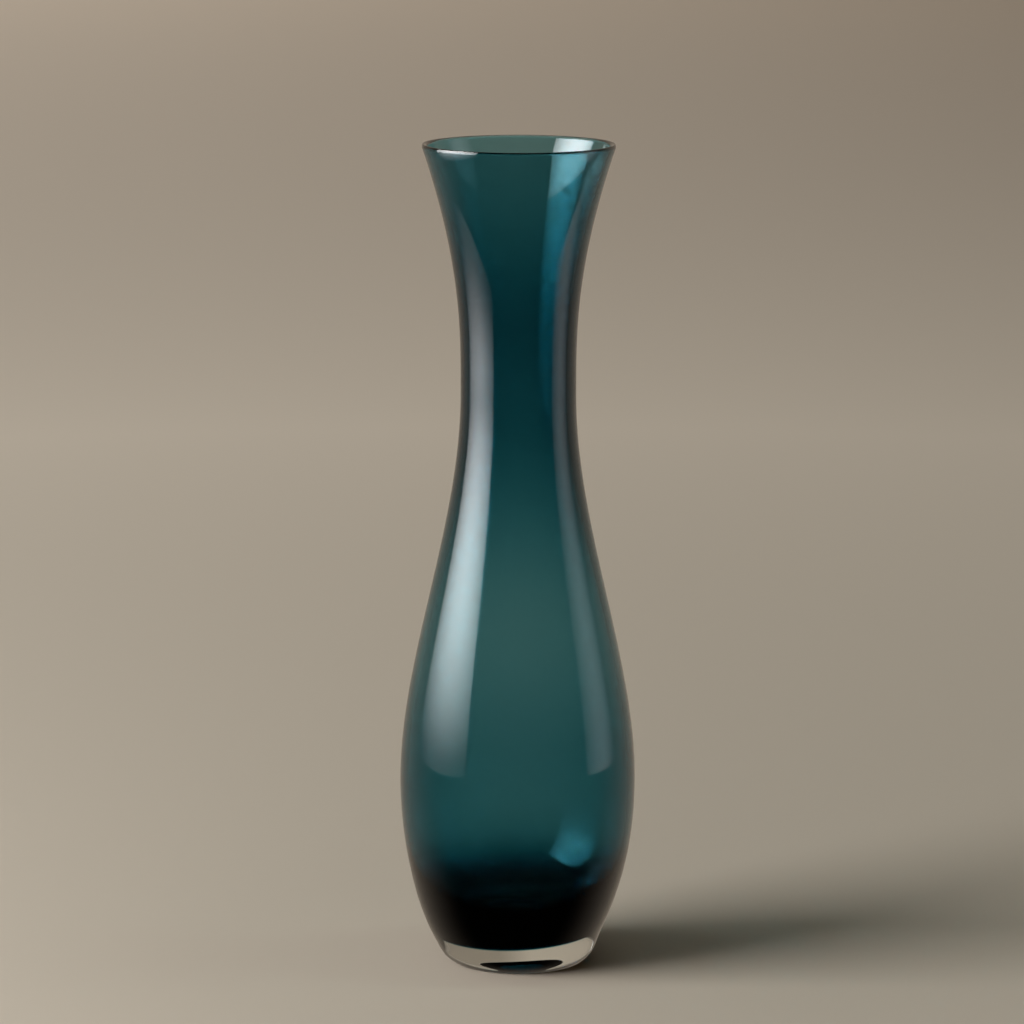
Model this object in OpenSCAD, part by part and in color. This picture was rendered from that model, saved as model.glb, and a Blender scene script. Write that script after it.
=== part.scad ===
// Hand blown vase of cased glass: a teal bubble under a clear casing, on a thick clear base.
// Millimetres, +Z up, with the origin on the resting surface at the centre of the foot.
// Every glass surface is a solid of revolution. Its outline is a chain of cubic curves that
// meet at named heights (foot, base line, belly, neck and mouth), so neighbouring layers of
// glass share one curve and touch face to face.

/* [Overall] */
// Height from the resting surface to the top of the lip
height = 380; // [360:1:400]
// Straight pieces in each curve of the outline
curve_steps = 20; // [8:1:32]

/* [Foot] */
// Radius of the flat ground ring that the vase stands on
foot_r = 30.9; // [29:0.1:33]
// Lean of the heel just above the ring, up from horizontal, in degrees
heel_angle = 35; // [25:1:60]
// Pull of the heel along that lean
heel_reach = 7; // [4:0.1:12]
// Radius of the polished hollow where the pontil mark was cut away
hollow_r = 16.5; // [10:0.1:20]
// Depth of the polished hollow
hollow_depth = 8.8; // [4:0.1:10]
// How far the crown of the hollow runs out, as a share of its radius
hollow_spread = 0.82; // [0.5:0.02:0.9]
// Pull of the hollow's upright wall above its rim
hollow_wall = 6.5; // [2:0.1:8]

/* [Base line] */
// Height at which the clear base ends and the cased wall begins
base_z = 16.4; // [14:0.1:18]
// Outer radius at the base line
base_r = 40.7; // [39:0.1:43]
// Outward lean of the wall at the base line, from vertical, in degrees
base_angle = 25.4; // [15:0.1:32]
// Pull of the outline below the base line
base_reach_down = 12; // [6:0.1:14]
// Pull of the outline above the base line
base_reach_up = 6; // [4:0.1:14]

/* [Belly] */
// Outer radius at the belly
belly_r = 54.4; // [50:0.1:60]
// Height of the belly
belly_z = 85.6; // [78:0.1:95]
// Pull of the outline below the belly
belly_reach_down = 39; // [25:0.5:48]
// Pull of the outline above the belly
belly_reach_up = 56; // [45:0.5:75]

/* [Neck] */
// Outer radius at the neck
neck_r = 26.5; // [24:0.1:30]
// Height of the neck
neck_z = 265; // [250:1:280]
// Pull of the outline below the neck
neck_reach_down = 60; // [40:0.5:73]
// Pull of the outline above the neck
neck_reach_up = 27; // [15:0.5:35]

/* [Mouth] */
// Outer radius at the mouth
mouth_r = 44.1; // [38:0.1:48]
// Outward lean of the wall at the mouth, from vertical, in degrees
flare_angle = 18.6; // [10:0.1:26]
// Pull of the outline below the mouth
flare_reach = 58; // [40:0.5:65]
// Height over which the fire-polished lip rounds off
lip_round = 1.5; // [0.8:0.1:2]

/* [Clear casing] */
// Thickness of the clear glass at the base line
casing_base = 0.5; // [0.4:0.1:1.2]
// Thickness of the clear glass at the belly
casing_belly = 1.9; // [1.2:0.1:3]
// Thickness of the clear glass at the neck
casing_neck = 2.2; // [1.2:0.1:3]
// Thickness of the clear glass at the lip
casing_lip = 1; // [0.8:0.1:1.8]

/* [Teal bubble] */
// Thickness of the teal glass at the belly
teal_belly = 1.6; // [1:0.05:2]
// Thickness of the teal glass at the neck
teal_neck = 2.5; // [1.5:0.1:4]
// Thickness of the teal glass at the lip
teal_lip = 1.6; // [1.2:0.1:2.2]
// Height of the middle of the seat, where the teal glass is kicked up a little
seat_z = 17.2; // [14:0.1:19]
// How far the middle of the seat runs out, as a share of its radius
seat_spread = 0.6; // [0.3:0.05:0.9]
// Height of the floor of the inside
floor_z = 21.5; // [21:0.5:26]
// How far the floor spreads before it turns up
floor_spread = 34; // [20:0.5:38]
// Pull of the inside below the belly
bowl_reach = 59; // [44:0.5:62]
// Pull of the inside above the belly, which thins the teal over the shoulder
inside_belly_reach = 60.6; // [52:0.2:64]
// Pull of the inside below the neck
inside_neck_down = 56.4; // [50:0.2:62]
// Pull of the inside above the neck
inside_neck_up = 24.4; // [20:0.2:30]
// Pull of the inside below the mouth
inside_flare_reach = 65.8; // [56:0.2:68]

/* [Hidden] */

round_fn = 128;
arc_steps = 10;
casing_colour = [0.80, 0.83, 0.80, 0.35];
teal_colour = [0.05, 0.36, 0.40, 0.85];
base_colour = [0.84, 0.85, 0.81, 0.45];

// Radii of the face between the layers and of the inside
seam_base_r = base_r - casing_base;
seam_belly_r = belly_r - casing_belly;
seam_neck_r = neck_r - casing_neck;
inside_belly_r = seam_belly_r - teal_belly;
inside_neck_r = seam_neck_r - teal_neck;
inside_mouth_r = mouth_r - casing_lip - teal_lip;
// Height where the walls end and the lip starts to round, and the crown of the lip
lip_z = height - lip_round;
crown_r = mouth_r - casing_lip + lip_round * tan(flare_angle);
// Pulls of the wall above the belly, below the neck, above the neck and below the mouth
outside_reaches = [belly_reach_up, neck_reach_down, neck_reach_up, flare_reach];
inside_reaches = [inside_belly_reach, inside_neck_down, inside_neck_up, inside_flare_reach];

// A point reached from p by going the given distance along a lean from vertical
function along(p, lean, reach) = [p[0] + reach * sin(lean), p[1] + reach * cos(lean)];

// Point at t on a cubic curve
function cubic(a, b, c, d, t) =
    a * pow(1 - t, 3) + 3 * b * t * pow(1 - t, 2) + 3 * c * t * t * (1 - t) + d * pow(t, 3);

// Points of a cubic curve after its first point
function curve(a, b, c, d) =
    [for (i = [1 : curve_steps]) cubic(a, b, c, d, i / curve_steps)];

// The same points in the other direction, for walking back down an outline
function reversed(points) = [for (i = [len(points) - 1 : -1 : 0]) points[i]];

// Wall above the belly, through the neck, to the end of the wall at the mouth
function upper_wall(belly, neck, mouth, reaches) = concat(
    curve(belly, along(belly, 0, reaches[0]), along(neck, 0, -reaches[1]), neck),
    curve(neck, along(neck, 0, reaches[2]), along(mouth, flare_angle, -reaches[3]), mouth)
);

// Quarter of an ellipse that rounds the lip from the wall's end to its crown
function lip_arc(wall_r) = [
    for (i = [1 : arc_steps])
        [
            crown_r + (wall_r - crown_r) * cos(90 * i / arc_steps),
            lip_z + lip_round * sin(90 * i / arc_steps)
        ]
];

base_knot = [base_r, base_z];
seam_knot = [seam_base_r, base_z];
crown = [crown_r, height];

// Outside of the clear base, from the ground ring up to the base line
function heel_curve() = curve(
    [foot_r, 0],
    along([foot_r, 0], 90 - heel_angle, heel_reach),
    along(base_knot, base_angle, -base_reach_down),
    base_knot
);

// Outside of the casing, from the base line to the crown of the lip
function casing_outside() = concat(
    [base_knot],
    curve(
        base_knot,
        along(base_knot, base_angle, base_reach_up),
        [belly_r, belly_z - belly_reach_down],
        [belly_r, belly_z]
    ),
    upper_wall([belly_r, belly_z], [neck_r, neck_z], [mouth_r, lip_z], outside_reaches),
    lip_arc(mouth_r)
);

// Face between the casing and the teal bubble, from the base line to the crown
function seam() = concat(
    [seam_knot],
    curve(
        seam_knot,
        along(seam_knot, base_angle, base_reach_up),
        [seam_belly_r, belly_z - belly_reach_down],
        [seam_belly_r, belly_z]
    ),
    upper_wall([seam_belly_r, belly_z], [seam_neck_r, neck_z], crown, outside_reaches)
);

// Face between the clear base and the teal bubble, from the axis to the base line
function seat() = concat(
    [[0, seat_z]],
    curve(
        [0, seat_z],
        [seam_base_r * seat_spread, seat_z],
        seam_knot,
        seam_knot
    )
);

// Inside of the vase, from the middle of its floor to the crown of the lip
function inside() = concat(
    [[0, floor_z]],
    curve(
        [0, floor_z],
        [floor_spread, floor_z],
        [inside_belly_r, belly_z - bowl_reach],
        [inside_belly_r, belly_z]
    ),
    upper_wall(
        [inside_belly_r, belly_z],
        [inside_neck_r, neck_z],
        [inside_mouth_r, lip_z],
        inside_reaches
    ),
    lip_arc(inside_mouth_r)
);

// Polished hollow under the foot, from the axis to its rim
function hollow() = concat(
    [[0, hollow_depth]],
    curve(
        [0, hollow_depth],
        [hollow_r * hollow_spread, hollow_depth],
        [hollow_r, hollow_wall],
        [hollow_r, 0]
    )
);

// An outline without its last point, where the next stretch starts on that point
function but_last(points) = [for (i = [0 : len(points) - 2]) points[i]];

// Thick clear gather under the colour, with its ground ring and polished hollow
module clear_base() {
    color(base_colour)
        rotate_extrude($fn = round_fn)
            polygon(concat(
                hollow(),
                [[foot_r, 0]],
                heel_curve(),
                reversed(seat())
            ));
}

// Inner bubble of teal glass, thick round the foot of its wall and thin at the belly
module teal_bubble() {
    color(teal_colour)
        rotate_extrude($fn = round_fn)
            polygon(concat(
                but_last(seat()),
                but_last(seam()),
                reversed(inside())
            ));
}

// Clear overlay on the colour, from the base line to the crown of the lip
module clear_casing() {
    color(casing_colour)
        rotate_extrude($fn = round_fn)
            polygon(concat(
                but_last(casing_outside()),
                reversed(seam())
            ));
}

clear_base();
teal_bubble();
clear_casing();
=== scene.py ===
"""Hand blown vase of cased glass, with its stage, lights and camera.

The vase is three fused layers of glass: a thick clear base, a teal bubble and a clear casing.
Each layer is drawn as a closed outline of curves and spun about the upright axis, so layers
that are fused share one curve. Everything is in metres, standing on the origin.
"""
import math

import bpy
from bpy.props import FloatProperty, FloatVectorProperty, IntProperty, PointerProperty
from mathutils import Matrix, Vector


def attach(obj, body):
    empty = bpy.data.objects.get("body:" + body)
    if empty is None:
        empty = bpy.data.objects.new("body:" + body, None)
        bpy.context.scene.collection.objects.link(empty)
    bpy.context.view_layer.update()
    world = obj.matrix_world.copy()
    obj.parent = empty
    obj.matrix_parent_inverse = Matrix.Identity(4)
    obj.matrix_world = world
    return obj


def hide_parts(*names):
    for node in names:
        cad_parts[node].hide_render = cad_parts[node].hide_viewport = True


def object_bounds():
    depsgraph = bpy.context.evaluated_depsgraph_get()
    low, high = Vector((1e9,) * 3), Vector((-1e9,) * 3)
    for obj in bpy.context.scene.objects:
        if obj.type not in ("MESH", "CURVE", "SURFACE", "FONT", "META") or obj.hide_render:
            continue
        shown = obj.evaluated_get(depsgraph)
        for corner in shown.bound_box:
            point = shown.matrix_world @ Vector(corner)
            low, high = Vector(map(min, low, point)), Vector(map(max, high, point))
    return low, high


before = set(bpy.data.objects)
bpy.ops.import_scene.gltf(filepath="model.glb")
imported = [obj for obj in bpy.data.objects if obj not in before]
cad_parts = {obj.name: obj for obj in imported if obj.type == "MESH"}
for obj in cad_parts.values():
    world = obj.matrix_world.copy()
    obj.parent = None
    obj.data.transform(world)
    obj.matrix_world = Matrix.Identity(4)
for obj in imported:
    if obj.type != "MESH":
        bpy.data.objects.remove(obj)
CAD_LOW, CAD_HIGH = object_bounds()

bl_info = {
    "name": "Cased Glass Vase",
    "version": (1, 0, 0),
    "blender": (4, 5, 0),
    "location": "3D View > Sidebar > Vase",
    "description": "Builds a hand blown vase of cased glass with its stage",
    "category": "Object",
}

MM = 0.001
BASE_LEAN = 25.4  # outward lean of the wall at the base line, in degrees from upright
FLARE_LEAN = 18.6  # outward lean of the wall at the mouth, in degrees from upright
BASE_PULL = 6 * MM  # pull of a wall as it leaves the base line
UNDER_BELLY_PULL = 39 * MM  # pull of the outer walls below the belly
# Pulls of a wall above the belly, below the neck, above the neck and below the mouth
OUTSIDE_PULLS = (56 * MM, 60 * MM, 27 * MM, 58 * MM)
INSIDE_PULLS = (60.6 * MM, 56.4 * MM, 24.4 * MM, 65.8 * MM)
SHARP_EDGE = math.radians(28)  # edges that turn by more than this stay crisp
GAP = 0.03 * MM  # between the two faces of a fused joint, so that light meets them in order
BODY = "root"
HEIGHT = CAD_HIGH[2] - CAD_LOW[2]
BELLY_R = (CAD_HIGH[0] - CAD_LOW[0]) / 2


def length(name, text, default_mm):
    """A length property with its default in millimetres."""
    return FloatProperty(name=name, description=text, default=default_mm * MM, unit="LENGTH",
                         precision=5)


class VaseShape(bpy.types.PropertyGroup):
    """Sizes of the outline and of the layers of glass"""
    height: FloatProperty(name="Height", description="From the foot to the crown of the lip",
                          default=HEIGHT, unit="LENGTH", precision=5)
    belly_r: FloatProperty(name="Belly radius", description="Outer radius at the belly",
                           default=BELLY_R, unit="LENGTH", precision=5)
    foot_r: length("Foot radius", "Radius of the ground ring", 30.9)
    heel_lean: FloatProperty(name="Heel lean", description="Lean of the heel as it leaves the ring",
                             default=math.radians(55), subtype="ANGLE")
    heel_reach: length("Heel reach", "Pull of the heel above the ring", 7)
    heel_reach_down: length("Heel reach down", "Pull of the heel below the base line", 12)
    hollow_r: length("Hollow radius", "Radius of the polished hollow under the foot", 16.5)
    hollow_depth: length("Hollow depth", "Depth of the polished hollow", 8.8)
    hollow_flat: FloatProperty(name="Hollow flat", description="Reach of its crown over its radius",
                               default=0.82, min=0, max=1)
    hollow_wall: length("Hollow wall", "Upright pull of its wall above the ring", 6.5)
    base_z: length("Base line height", "Where the clear base ends", 16.4)
    base_r: length("Base line radius", "Outer radius at the base line", 40.7)
    belly_z: length("Belly height", "Height of the belly", 85.6)
    neck_r: length("Neck radius", "Outer radius at the neck", 26.5)
    neck_z: length("Neck height", "Height of the neck", 265)
    mouth_r: length("Mouth radius", "Outer radius at the mouth", 44.1)
    lip_round: length("Lip round", "Height over which the lip rounds off", 1.5)
    casing_base: length("Casing at the base line", "Thickness of the clear glass", 0.5)
    casing_belly: length("Casing at the belly", "Thickness of the clear glass", 1.9)
    casing_neck: length("Casing at the neck", "Thickness of the clear glass", 2.2)
    casing_lip: length("Casing at the lip", "Thickness of the clear glass", 1)
    teal_belly: length("Teal at the belly", "Thickness of the teal glass", 1.6)
    teal_neck: length("Teal at the neck", "Thickness of the teal glass", 2.5)
    teal_lip: length("Teal at the lip", "Thickness of the teal glass", 1.6)
    seat_z: length("Seat height", "Where the teal glass is kicked up", 17.2)
    seat_flat: FloatProperty(name="Seat flat", description="Reach of its middle over its radius",
                             default=0.6, min=0, max=1)
    askew_right: FloatProperty(name="Askew to the right", description="Rise of the base line",
                               default=0.042, subtype="FACTOR")
    askew_back: FloatProperty(name="Askew to the back", description="Rise of the base line",
                              default=0.073, subtype="FACTOR")
    askew_reach: length("Askew reach", "How far up the glass the tilt fades out", 45)
    floor_z: length("Floor height", "Floor of the inside", 21.5)
    floor_spread: length("Floor spread", "Pull of the floor from the middle", 34)
    bowl_reach: length("Bowl reach", "Pull of the bowl below the belly", 59)
    turns: IntProperty(name="Steps round", description="Faces round the axis", default=192, min=24)
    curve_steps: IntProperty(name="Steps along", description="Points in each curve", default=40,
                             min=6)


class VaseGlass(bpy.types.PropertyGroup):
    """Colours of the glass"""
    teal_tint: FloatVectorProperty(name="Teal tint", description="What the teal glass lets through",
                                   default=(0.0, 0.52, 0.60), size=3, subtype="COLOR", min=0, max=1)
    teal_depth: FloatProperty(name="Teal depth", description="Absorption per metre",
                              default=1000.0, min=0)
    clear_tint: FloatVectorProperty(name="Clear tint", description="Cast of the clear glass",
                                    default=(0.60, 0.76, 0.74), size=3, subtype="COLOR", min=0,
                                    max=1)
    clear_depth: FloatProperty(name="Clear depth", description="Absorption per metre",
                               default=5.0, min=0)


class VaseStage(bpy.types.PropertyGroup):
    """The paper sweep, the lights and the camera"""
    paper: FloatVectorProperty(name="Paper", description="Colour of the sweep",
                               default=(0.61, 0.53, 0.435), size=3, subtype="COLOR", min=0, max=1)
    sweep_r: FloatProperty(name="Sweep radius", description="Flat radius of the sweep",
                           default=7.0, unit="LENGTH")
    camera_distance: FloatProperty(name="Camera distance", description="Along the ground",
                                   default=2.15, unit="LENGTH")
    camera_height: FloatProperty(name="Camera height", description="Above the ground",
                                 default=0.5845, unit="LENGTH")
    camera_tilt: FloatProperty(name="Camera tilt", description="Below level",
                               default=math.radians(9.867), subtype="ANGLE")
    camera_roll: FloatProperty(name="Camera roll", description="Roll about the view",
                               default=math.radians(0.12), subtype="ANGLE")
    lens: FloatProperty(name="Lens", description="Focal length in millimetres", default=167.0)
    camera_shift: FloatProperty(name="Camera shift", description="Sideways, over the frame's width",
                                default=-0.006035, precision=6)
    key_power: FloatProperty(name="Key power", description="Watts of the key light", default=53.0)
    fill_power: FloatProperty(name="Fill power", description="Watts of the light overhead",
                              default=10.0)
    left_glow: FloatProperty(name="Left glow", description="Brightness of the left softbox",
                             default=15.0)
    right_glow: FloatProperty(name="Right glow", description="Brightness of the right softbox",
                              default=1.0)


# Outlines ---------------------------------------------------------------------------------

def along(point, lean, reach):
    """The point reached from another by a distance along a lean from upright, in degrees."""
    turn = math.radians(lean)
    return (point[0] + reach * math.sin(turn), point[1] + reach * math.cos(turn))


class Outline:
    """A closed outline in the XZ plane, kept as stretches of cubic curve."""

    def __init__(self):
        self.stretches = []

    def curve(self, *handles):
        """Adds one cubic stretch: its start, two handles and its end."""
        self.stretches.append(handles)

    def curves(self, stretches):
        """Adds several cubic stretches in order."""
        for handles in stretches:
            self.curve(*handles)

    def line(self, start, end):
        """Adds a straight stretch."""
        third = [(start[i] + (end[i] - start[i]) / 3) for i in (0, 1)]
        later = [(start[i] + (end[i] - start[i]) * 2 / 3) for i in (0, 1)]
        self.curve(start, third, later, end)


def backwards(stretches):
    """The same stretches, walked the other way."""
    return [tuple(reversed(handles)) for handles in reversed(stretches)]


ARC = 0.5523  # handle length of a quarter circle drawn as one cubic


def wall(s, start, start_pull, lean, belly_r, neck_r, end, pulls, under_belly=UNDER_BELLY_PULL):
    """A wall from its start, over the belly and through the neck, to its end at the mouth."""
    belly, neck = (belly_r, s.belly_z), (neck_r, s.neck_z)
    return [
        (start, along(start, lean, start_pull), (belly_r, s.belly_z - under_belly), belly),
        (belly, along(belly, 0, pulls[0]), along(neck, 0, -pulls[1]), neck),
        (neck, along(neck, 0, pulls[2]), along(end, FLARE_LEAN, -pulls[3]), end),
    ]


def layer_curves(s):
    """Every surface of the vase, as a dict of lists of cubic stretches."""
    lip_z = s.height - s.lip_round
    crown_r = s.mouth_r - s.casing_lip + s.lip_round * math.tan(math.radians(FLARE_LEAN))
    crown = (crown_r, s.height)
    base_knot = (s.base_r, s.base_z)
    seam_knot = (s.base_r - s.casing_base, s.base_z)
    seam_belly, seam_neck = s.belly_r - s.casing_belly, s.neck_r - s.casing_neck
    inside_belly, inside_neck = seam_belly - s.teal_belly, seam_neck - s.teal_neck
    inside_mouth = s.mouth_r - s.casing_lip - s.teal_lip
    teal_knot = (seam_knot[0] - GAP, s.base_z)
    teal_crown = (crown[0] - GAP, s.height)

    def lip(radius, crown):
        """Quarter of an ellipse from the end of a wall to the crown."""
        return [((radius, lip_z), (radius, lip_z + ARC * s.lip_round),
                 (crown[0] + (radius - crown[0]) * ARC, s.height), crown)]

    foot = (s.foot_r, 0.0)
    return {
        "hollow": [((0.0, s.hollow_depth), (s.hollow_r * s.hollow_flat, s.hollow_depth),
                    (s.hollow_r, s.hollow_wall), (s.hollow_r, 0.0))],
        "heel": [(foot, along(foot, math.degrees(s.heel_lean), s.heel_reach),
                  along(base_knot, BASE_LEAN, -s.heel_reach_down), base_knot)],
        "seat": [((0.0, s.seat_z), (seam_knot[0] * s.seat_flat, s.seat_z),
                  seam_knot, seam_knot)],
        "outside": wall(s, base_knot, BASE_PULL, BASE_LEAN, s.belly_r, s.neck_r,
                        (s.mouth_r, lip_z), OUTSIDE_PULLS) + lip(s.mouth_r, crown),
        "seam": wall(s, seam_knot, BASE_PULL, BASE_LEAN, seam_belly, seam_neck, crown,
                     OUTSIDE_PULLS),
        "teal_under": [((0.0, s.seat_z + GAP), (seam_knot[0] * s.seat_flat, s.seat_z + GAP),
                        teal_knot, teal_knot)],
        "teal_outside": wall(s, teal_knot, BASE_PULL, BASE_LEAN, seam_belly - GAP,
                             seam_neck - GAP, teal_crown, OUTSIDE_PULLS),
        "inside": wall(s, (0.0, s.floor_z), s.floor_spread, 90, inside_belly, inside_neck,
                       (inside_mouth, lip_z), INSIDE_PULLS, under_belly=s.bowl_reach)
        + lip(inside_mouth, teal_crown),
    }


# Modelling --------------------------------------------------------------------------------

def deselect_all():
    if bpy.context.object and bpy.context.object.mode != "OBJECT":
        bpy.ops.object.mode_set(mode="OBJECT")
    bpy.ops.object.select_all(action="DESELECT")


def draw_outline(name, stretches, steps):
    """A closed curve object through the stretches, drawn as with the curve tool."""
    deselect_all()
    bpy.ops.curve.primitive_bezier_curve_add(location=(0, 0, 0))
    drawn = bpy.context.object
    drawn.name = name
    data = drawn.data
    data.resolution_u = steps
    spline = data.splines[0]
    closed = (Vector(stretches[0][0]) - Vector(stretches[-1][3])).length < 1e-7
    knots = len(stretches) + (0 if closed else 1)
    spline.bezier_points.add(knots - 2)
    spline.use_cyclic_u = closed
    for i, handles in enumerate(stretches):
        here = spline.bezier_points[i]
        after = spline.bezier_points[(i + 1) % knots]
        for point in (here, after):
            point.handle_left_type = point.handle_right_type = "FREE"
        here.co = (handles[0][0], 0, handles[0][1])
        here.handle_right = (handles[1][0], 0, handles[1][1])
        after.co = (handles[3][0], 0, handles[3][1])
        after.handle_left = (handles[2][0], 0, handles[2][1])
    return drawn


def spin_outline(name, stretches, shape):
    """A solid of revolution from an outline that is closed, or that starts and ends on the axis."""
    drawn = draw_outline(name, stretches, shape.curve_steps)
    bpy.ops.object.convert(target="MESH")
    piece = bpy.context.object
    bpy.ops.object.mode_set(mode="EDIT")
    bpy.ops.mesh.select_all(action="SELECT")
    bpy.ops.mesh.remove_doubles(threshold=0.001 * MM)
    bpy.ops.mesh.select_all(action="SELECT")
    bpy.ops.mesh.spin(steps=shape.turns, angle=math.tau, center=(0, 0, 0), axis=(0, 0, 1))
    bpy.ops.mesh.select_all(action="SELECT")
    bpy.ops.mesh.remove_doubles(threshold=0.002 * MM)
    bpy.ops.mesh.select_all(action="SELECT")
    bpy.ops.mesh.normals_make_consistent(inside=False)
    bpy.ops.object.mode_set(mode="OBJECT")
    bpy.ops.object.shade_smooth_by_angle(angle=SHARP_EDGE)
    piece.name = name
    piece.data.name = name
    return piece


def smooth(share):
    """Eases a share between nothing and all of it."""
    share = min(max(share, 0.0), 1.0)
    return share * share * (3 - 2 * share)


def set_askew(piece, shape):
    """Tilts the glass round the base line, because the bubble sat a little askew in the gather."""
    for vertex in piece.data.vertices:
        spot = vertex.co
        below = smooth(spot.z / shape.base_z)
        above = 1 - smooth((spot.z - shape.base_z) / shape.askew_reach)
        spot.z += below * above * (spot.x * shape.askew_right + spot.y * shape.askew_back)


def finish_piece(piece, node, material):
    set_askew(piece, bpy.context.scene.vase_shape)
    piece.data.materials.clear()
    piece.data.materials.append(material)
    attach(piece, BODY)
    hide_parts(node)


# Materials --------------------------------------------------------------------------------

def new_material(name):
    material = bpy.data.materials.new(name)
    material.use_nodes = True
    material.node_tree.nodes.clear()
    return material, material.node_tree.nodes, material.node_tree.links


def glass_material(name, tint, depth, ground=False):
    """Blown glass. Where the layer is fused to its neighbour light goes straight on."""
    material, nodes, links = new_material(name)
    out = nodes.new("ShaderNodeOutputMaterial")
    glass = nodes.new("ShaderNodeBsdfPrincipled")
    glass.inputs["Base Color"].default_value = (1, 1, 1, 1)
    glass.inputs["Transmission Weight"].default_value = 1.0
    glass.inputs["Roughness"].default_value = 0.0
    glass.inputs["IOR"].default_value = 1.5

    # Faint upright cords left by turning and swinging the hot glass
    place = nodes.new("ShaderNodeTexCoord")
    stretch = nodes.new("ShaderNodeMapping")
    stretch.inputs["Scale"].default_value = (1, 1, 0.08)
    cords = nodes.new("ShaderNodeTexNoise")
    cords.inputs["Scale"].default_value = 70.0
    cords.inputs["Detail"].default_value = 1.0
    wave = nodes.new("ShaderNodeBump")
    wave.inputs["Strength"].default_value = 0.2
    wave.inputs["Distance"].default_value = 0.1 * MM
    links.new(place.outputs["Object"], stretch.inputs["Vector"])
    links.new(stretch.outputs["Vector"], cords.inputs["Vector"])
    links.new(cords.outputs["Fac"], wave.inputs["Height"])
    links.new(wave.outputs["Normal"], glass.inputs["Normal"])

    # The ring that the vase stands on is finely ground and a little scuffed
    if ground:
        part = nodes.new("ShaderNodeSeparateXYZ")
        scuffs = nodes.new("ShaderNodeTexNoise")
        scuffs.inputs["Scale"].default_value = 900.0
        grain = nodes.new("ShaderNodeMapRange")
        grain.inputs["To Min"].default_value = 0.2
        grain.inputs["To Max"].default_value = 0.55
        ring = nodes.new("ShaderNodeMapRange")
        ring.inputs["From Min"].default_value = 0.15 * MM
        ring.inputs["From Max"].default_value = 0.3 * MM
        ring.inputs["To Max"].default_value = 0.0
        links.new(place.outputs["Object"], part.inputs["Vector"])
        links.new(place.outputs["Object"], scuffs.inputs["Vector"])
        links.new(scuffs.outputs["Fac"], grain.inputs["Value"])
        links.new(part.outputs["Z"], ring.inputs["Value"])
        links.new(grain.outputs["Result"], ring.inputs["To Min"])
        links.new(ring.outputs["Result"], glass.inputs["Roughness"])
    fused = nodes.new("ShaderNodeAttribute")
    fused.attribute_name = "fused"
    index = nodes.new("ShaderNodeMapRange")
    index.inputs["To Min"].default_value = 1.5
    index.inputs["To Max"].default_value = 1.0
    links.new(fused.outputs["Fac"], index.inputs["Value"])
    links.new(index.outputs["Result"], glass.inputs["IOR"])
    links.new(glass.outputs["BSDF"], out.inputs["Surface"])
    body = nodes.new("ShaderNodeVolumeAbsorption")
    body.inputs["Color"].default_value = (*tint, 1)
    body.inputs["Density"].default_value = depth
    links.new(body.outputs["Volume"], out.inputs["Volume"])
    return material


def paper_material(colour):
    """Pale paper with painted fill light: it glows more far from the vase and more on the left,
    where the key light stands, and has a faint painted shade right by the vase.
    """
    material, nodes, links = new_material("sweep_paper")
    out = nodes.new("ShaderNodeOutputMaterial")
    paper = nodes.new("ShaderNodeBsdfPrincipled")
    paper.inputs["Base Color"].default_value = (*colour, 1)
    paper.inputs["Roughness"].default_value = 0.9
    paper.inputs["Specular IOR Level"].default_value = 0.1
    # Painted light: the paper's emission grows with distance from the vase and towards the left,
    # standing in for the fill and for the key light from the left; within 0.15 m of the vase it
    # dips just below nothing, a faint painted shade.
    place = nodes.new("ShaderNodeTexCoord")
    far = nodes.new("ShaderNodeVectorMath")
    far.operation = "LENGTH"
    fill = nodes.new("ShaderNodeMapRange")
    fill.inputs["From Min"].default_value = 0.15
    fill.inputs["From Max"].default_value = 1.6
    fill.inputs["To Min"].default_value = -0.02
    fill.inputs["To Max"].default_value = 0.36
    side = nodes.new("ShaderNodeSeparateXYZ")
    painted_left_falloff = nodes.new("ShaderNodeMapRange")
    painted_left_falloff.inputs["From Min"].default_value = -1
    painted_left_falloff.inputs["From Max"].default_value = 1
    painted_left_falloff.inputs["To Min"].default_value = 1.3
    painted_left_falloff.inputs["To Max"].default_value = 0.6
    painted_glow = nodes.new("ShaderNodeMath")
    painted_glow.operation = "MULTIPLY"
    paper.inputs["Emission Color"].default_value = (*colour, 1)
    links.new(place.outputs["Object"], far.inputs[0])
    links.new(far.outputs["Value"], fill.inputs["Value"])
    links.new(place.outputs["Object"], side.inputs["Vector"])
    links.new(side.outputs["X"], painted_left_falloff.inputs["Value"])
    links.new(fill.outputs["Result"], painted_glow.inputs[0])
    links.new(painted_left_falloff.outputs["Result"], painted_glow.inputs[1])
    links.new(painted_glow.outputs["Value"], paper.inputs["Emission Strength"])
    links.new(paper.outputs["BSDF"], out.inputs["Surface"])
    return material


# Operators --------------------------------------------------------------------------------

class VASE_OT_clear_base(bpy.types.Operator):
    """Spins the thick clear base with its ground ring and polished hollow"""
    bl_idname = "vase.clear_base"
    bl_label = "Clear Base"

    def execute(self, context):
        shape, glass = context.scene.vase_shape, context.scene.vase_glass
        curves = layer_curves(shape)
        outline = Outline()
        outline.curves(curves["hollow"])
        outline.line(curves["hollow"][0][3], curves["heel"][0][0])
        outline.curves(curves["heel"])
        outline.line(curves["heel"][0][3], curves["seat"][0][3])
        outline.curves(backwards(curves["seat"]))
        piece = spin_outline("clear_base_glass", outline.stretches, shape)
        mark = piece.data.attributes.new("fused", "FLOAT", "FACE")
        for face in piece.data.polygons:
            mark.data[face.index].value = float(face.center.z > shape.base_z - 0.01 * MM)
        finish_piece(piece, "clear_base",
                     glass_material("base_glass", glass.clear_tint, glass.clear_depth,
                                    ground=True))
        return {"FINISHED"}


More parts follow.
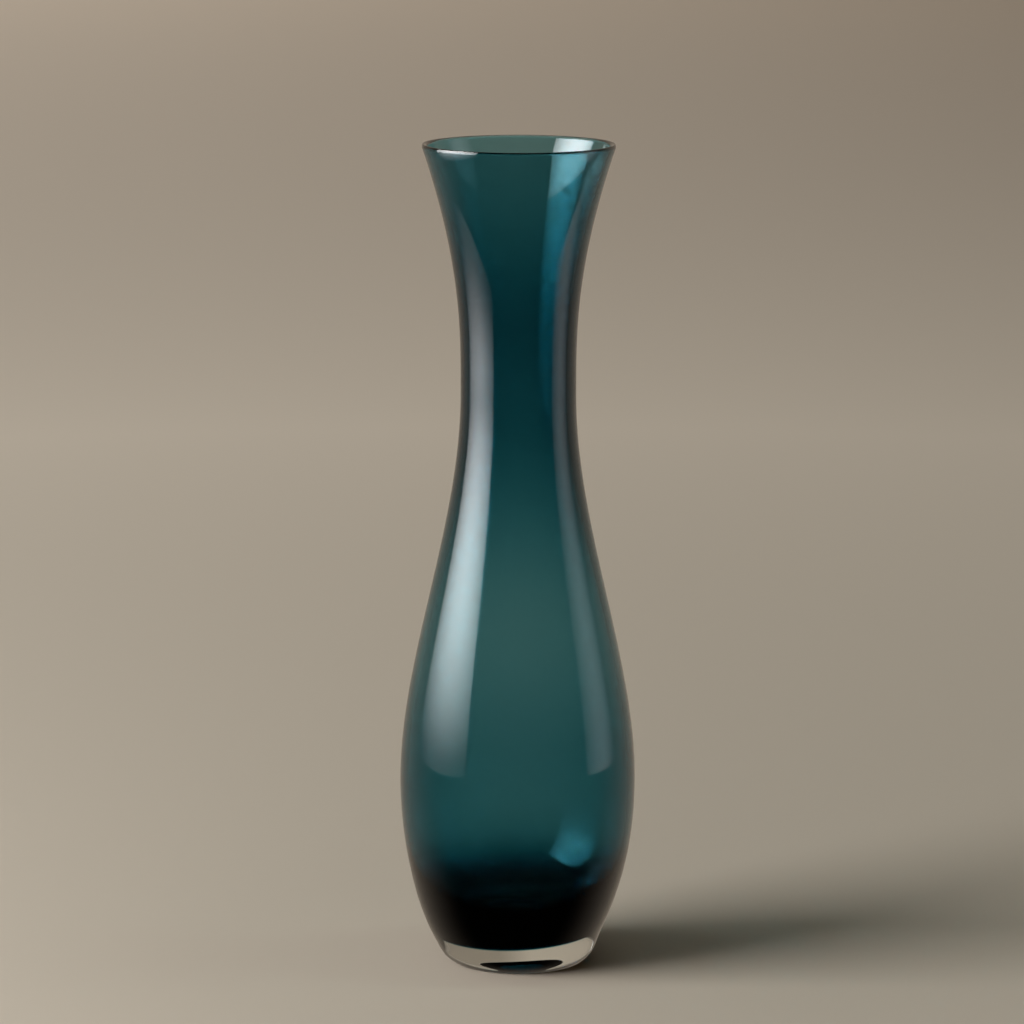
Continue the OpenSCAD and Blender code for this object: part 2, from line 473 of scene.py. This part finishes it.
class VASE_OT_teal_bubble(bpy.types.Operator):
    """Spins the inner bubble of teal glass"""
    bl_idname = "vase.teal_bubble"
    bl_label = "Teal Bubble"

    def execute(self, context):
        shape, glass = context.scene.vase_shape, context.scene.vase_glass
        curves = layer_curves(shape)
        outline = Outline()
        outline.curves(curves["teal_under"])
        outline.curves(curves["teal_outside"])
        outline.curves(backwards(curves["inside"]))
        piece = spin_outline("teal_bubble_glass", outline.stretches, shape)

        # Fused faces face away from the axis or down; the inside faces the axis or up
        mark = piece.data.attributes.new("fused", "FLOAT", "FACE")
        for face in piece.data.polygons:
            centre, normal = face.center, face.normal
            outward = centre.x * normal.x + centre.y * normal.y
            on_lip = centre.z > shape.height - shape.lip_round
            under = centre.z < shape.seat_z + 0.1 * MM and normal.z < 0
            fused = under or (outward > 0 and not (on_lip and normal.z > 0.2))
            mark.data[face.index].value = float(fused)
        finish_piece(piece, "teal_bubble",
                     glass_material("teal_glass", glass.teal_tint, glass.teal_depth))
        return {"FINISHED"}


class VASE_OT_clear_casing(bpy.types.Operator):
    """Spins the clear overlay from the base line to the crown of the lip"""
    bl_idname = "vase.clear_casing"
    bl_label = "Clear Casing"

    def execute(self, context):
        shape, glass = context.scene.vase_shape, context.scene.vase_glass
        curves = layer_curves(shape)
        outline = Outline()
        outline.curves(curves["outside"])
        outline.curves(backwards(curves["seam"]))
        outline.line(curves["seam"][0][0], curves["outside"][0][0])
        piece = spin_outline("clear_casing_glass", outline.stretches, shape)
        mark = piece.data.attributes.new("fused", "FLOAT", "FACE")
        for face in piece.data.polygons:
            centre, normal = face.center, face.normal
            outward = centre.x * normal.x + centre.y * normal.y
            on_line = normal.z < -0.99
            mark.data[face.index].value = 1.0 if outward < 0 or on_line else 0.0
        finish_piece(piece, "clear_casing",
                     glass_material("casing_glass", glass.clear_tint, glass.clear_depth))
        return {"FINISHED"}


def area_light(name, azimuth, distance, low, high, width, power, colour=(1, 1, 1)):
    """A panel facing the vase, or facing down from over it where the distance is nothing.

    Azimuth is degrees round from the camera, to the right.
    """
    turn = math.radians(azimuth)
    data = bpy.data.lights.new(name, "AREA")
    data.shape = "RECTANGLE"
    data.size = width
    data.size_y = high - low
    data.energy = power
    data.color = colour
    lamp = bpy.data.objects.new(name, data)
    bpy.context.collection.objects.link(lamp)
    lamp.location = (distance * math.sin(turn), -distance * math.cos(turn), (low + high) / 2)
    if distance:
        lamp.rotation_euler = (math.pi / 2, 0, turn)
    lamp.visible_camera = False
    return lamp


def soft_panel(name, azimuth, width, glow, tall, foot, foot_share):
    """A softbox that stands by the vase, dimmer at its sides and at its foot."""
    distance = 0.74
    turn = math.radians(azimuth)
    bpy.ops.mesh.primitive_plane_add(size=1)
    panel = bpy.context.object
    panel.name = name
    panel.scale = (width, tall, 1)
    bpy.ops.object.transform_apply(location=False, rotation=False, scale=True)
    panel.location = (distance * math.sin(turn), -distance * math.cos(turn), tall / 2)
    panel.rotation_euler = (math.pi / 2, 0, turn)
    material, nodes, links = new_material(name + "_cloth")
    out = nodes.new("ShaderNodeOutputMaterial")
    cloth = nodes.new("ShaderNodeEmission")
    place = nodes.new("ShaderNodeTexCoord")
    part = nodes.new("ShaderNodeSeparateXYZ")
    aside = nodes.new("ShaderNodeMath")
    aside.operation = "ABSOLUTE"
    across = nodes.new("ShaderNodeMapRange")
    across.interpolation_type = "SMOOTHSTEP"
    across.inputs["From Max"].default_value = 0.7 * width
    across.inputs["To Min"].default_value = glow
    across.inputs["To Max"].default_value = 0.1 * glow
    upward = nodes.new("ShaderNodeMapRange")
    upward.interpolation_type = "SMOOTHSTEP"
    upward.inputs["From Min"].default_value = 0.0 - tall / 2
    upward.inputs["From Max"].default_value = foot - tall / 2
    upward.inputs["To Min"].default_value = foot_share
    upward.inputs["To Max"].default_value = 1.0
    strength = nodes.new("ShaderNodeMath")
    strength.operation = "MULTIPLY"
    links.new(place.outputs["Object"], part.inputs["Vector"])
    links.new(part.outputs["X"], aside.inputs[0])
    links.new(aside.outputs["Value"], across.inputs["Value"])
    links.new(part.outputs["Y"], upward.inputs["Value"])
    links.new(across.outputs["Result"], strength.inputs[0])
    links.new(upward.outputs["Result"], strength.inputs[1])
    links.new(strength.outputs["Value"], cloth.inputs["Strength"])
    links.new(cloth.outputs["Emission"], out.inputs["Surface"])
    panel.data.materials.append(material)
    panel.visible_camera = panel.visible_diffuse = panel.visible_shadow = False
    return panel


class VASE_OT_stage(bpy.types.Operator):
    """Lays the paper sweep, hangs the lights and places the camera"""
    bl_idname = "vase.stage"
    bl_label = "Stage"

    def execute(self, context):
        stage = context.scene.vase_stage
        sweep = spin_sweep(stage.sweep_r)
        sweep.data.materials.append(paper_material(stage.paper))

        key = area_light("key", -68, 1.7, 0.05, 1.7, 1.3, stage.key_power)
        key.visible_glossy = key.visible_transmission = False
        top = area_light("fill", 0, 0, 2.9, 3.1, 3, stage.fill_power, (0.8, 1.0, 0.97))
        top.visible_glossy = top.visible_transmission = False
        soft_panel("soft_left", -81, 0.89, stage.left_glow, 0.95, 0.50, 0.04)
        soft_panel("soft_right", 88, 0.51, stage.right_glow, 0.95, 0.25, 0.9)

        sweep.visible_glossy = False
        context.scene.world = room_world()
        context.scene.world.cycles_visibility.diffuse = False

        data = bpy.data.cameras.new("camera")
        data.lens = stage.lens
        data.sensor_width = 36
        data.clip_start, data.clip_end = 0.05, 50
        camera = bpy.data.objects.new("camera", data)
        context.collection.objects.link(camera)
        camera.location = (0, -stage.camera_distance, stage.camera_height)
        camera.rotation_euler = (math.pi / 2 - stage.camera_tilt, 0, 0)
        camera.rotation_euler.rotate_axis("Z", stage.camera_roll)
        data.shift_x = stage.camera_shift
        context.scene.camera = camera

        context.scene.view_settings.view_transform = "Standard"
        cycles = context.scene.cycles
        cycles.max_bounces = 40
        cycles.transmission_bounces = 40
        cycles.glossy_bounces = 12
        cycles.transparent_max_bounces = 16
        return {"FINISHED"}


def room_world():
    """A room that is dark in front of the vase and pale behind it."""
    world = bpy.data.worlds.new("room")
    world.use_nodes = True
    nodes, links = world.node_tree.nodes, world.node_tree.links
    back = nodes["Background"]
    back.inputs["Color"].default_value = (1.0, 0.84, 0.66, 1)
    place = nodes.new("ShaderNodeTexCoord")
    split = nodes.new("ShaderNodeSeparateXYZ")
    shade = nodes.new("ShaderNodeMapRange")
    shade.interpolation_type = "SMOOTHSTEP"
    shade.inputs["From Min"].default_value = -0.3
    shade.inputs["From Max"].default_value = 0.8
    shade.inputs["To Min"].default_value = 0.004
    shade.inputs["To Max"].default_value = 0.33
    links.new(place.outputs["Generated"], split.inputs["Vector"])
    links.new(split.outputs["Y"], shade.inputs["Value"])
    links.new(shade.outputs["Result"], back.inputs["Strength"])
    return world


def spin_sweep(radius):
    """A round floor of paper that curves up into a wall all round."""
    bend, top = 0.9, 4.0
    stretches = [
        ((0, 0), (radius / 3, 0), (radius * 2 / 3, 0), (radius, 0)),
        ((radius, 0), (radius + ARC * bend, 0), (radius + bend, bend - ARC * bend),
         (radius + bend, bend)),
        ((radius + bend, bend), (radius + bend, bend + 1), (radius + bend, top - 1),
         (radius + bend, top)),
    ]
    draw_outline("sweep", stretches, 12)
    bpy.ops.object.convert(target="MESH")
    sweep = bpy.context.object
    bpy.ops.object.mode_set(mode="EDIT")
    bpy.ops.mesh.select_all(action="SELECT")
    bpy.ops.mesh.spin(steps=96, angle=math.tau, center=(0, 0, 0), axis=(0, 0, 1))
    bpy.ops.mesh.select_all(action="SELECT")
    bpy.ops.mesh.remove_doubles(threshold=0.01 * MM)
    bpy.ops.object.mode_set(mode="OBJECT")
    bpy.ops.object.shade_smooth()
    sweep.data.materials.clear()
    return sweep


class VASE_PT_panel(bpy.types.Panel):
    """Lists the steps that build the vase"""
    bl_idname = "VASE_PT_panel"
    bl_label = "Cased Glass Vase"
    bl_space_type = "VIEW_3D"
    bl_region_type = "UI"
    bl_category = "Vase"

    def draw(self, context):
        for step in STEPS:
            self.layout.operator(step.bl_idname)


GROUPS = {"vase_shape": VaseShape, "vase_glass": VaseGlass, "vase_stage": VaseStage}
STEPS = (VASE_OT_clear_base, VASE_OT_teal_bubble, VASE_OT_clear_casing, VASE_OT_stage)
CLASSES = (*GROUPS.values(), *STEPS, VASE_PT_panel)


def register():
    for item in CLASSES:
        bpy.utils.register_class(item)
    for name, group in GROUPS.items():
        setattr(bpy.types.Scene, name, PointerProperty(type=group))


def unregister():
    for name in GROUPS:
        delattr(bpy.types.Scene, name)
    for item in reversed(CLASSES):
        bpy.utils.unregister_class(item)


def main():
    register()
    bpy.ops.vase.clear_base()
    bpy.ops.vase.teal_bubble()
    bpy.ops.vase.clear_casing()
    bpy.ops.vase.stage()


if __name__ == "__main__":
    main()
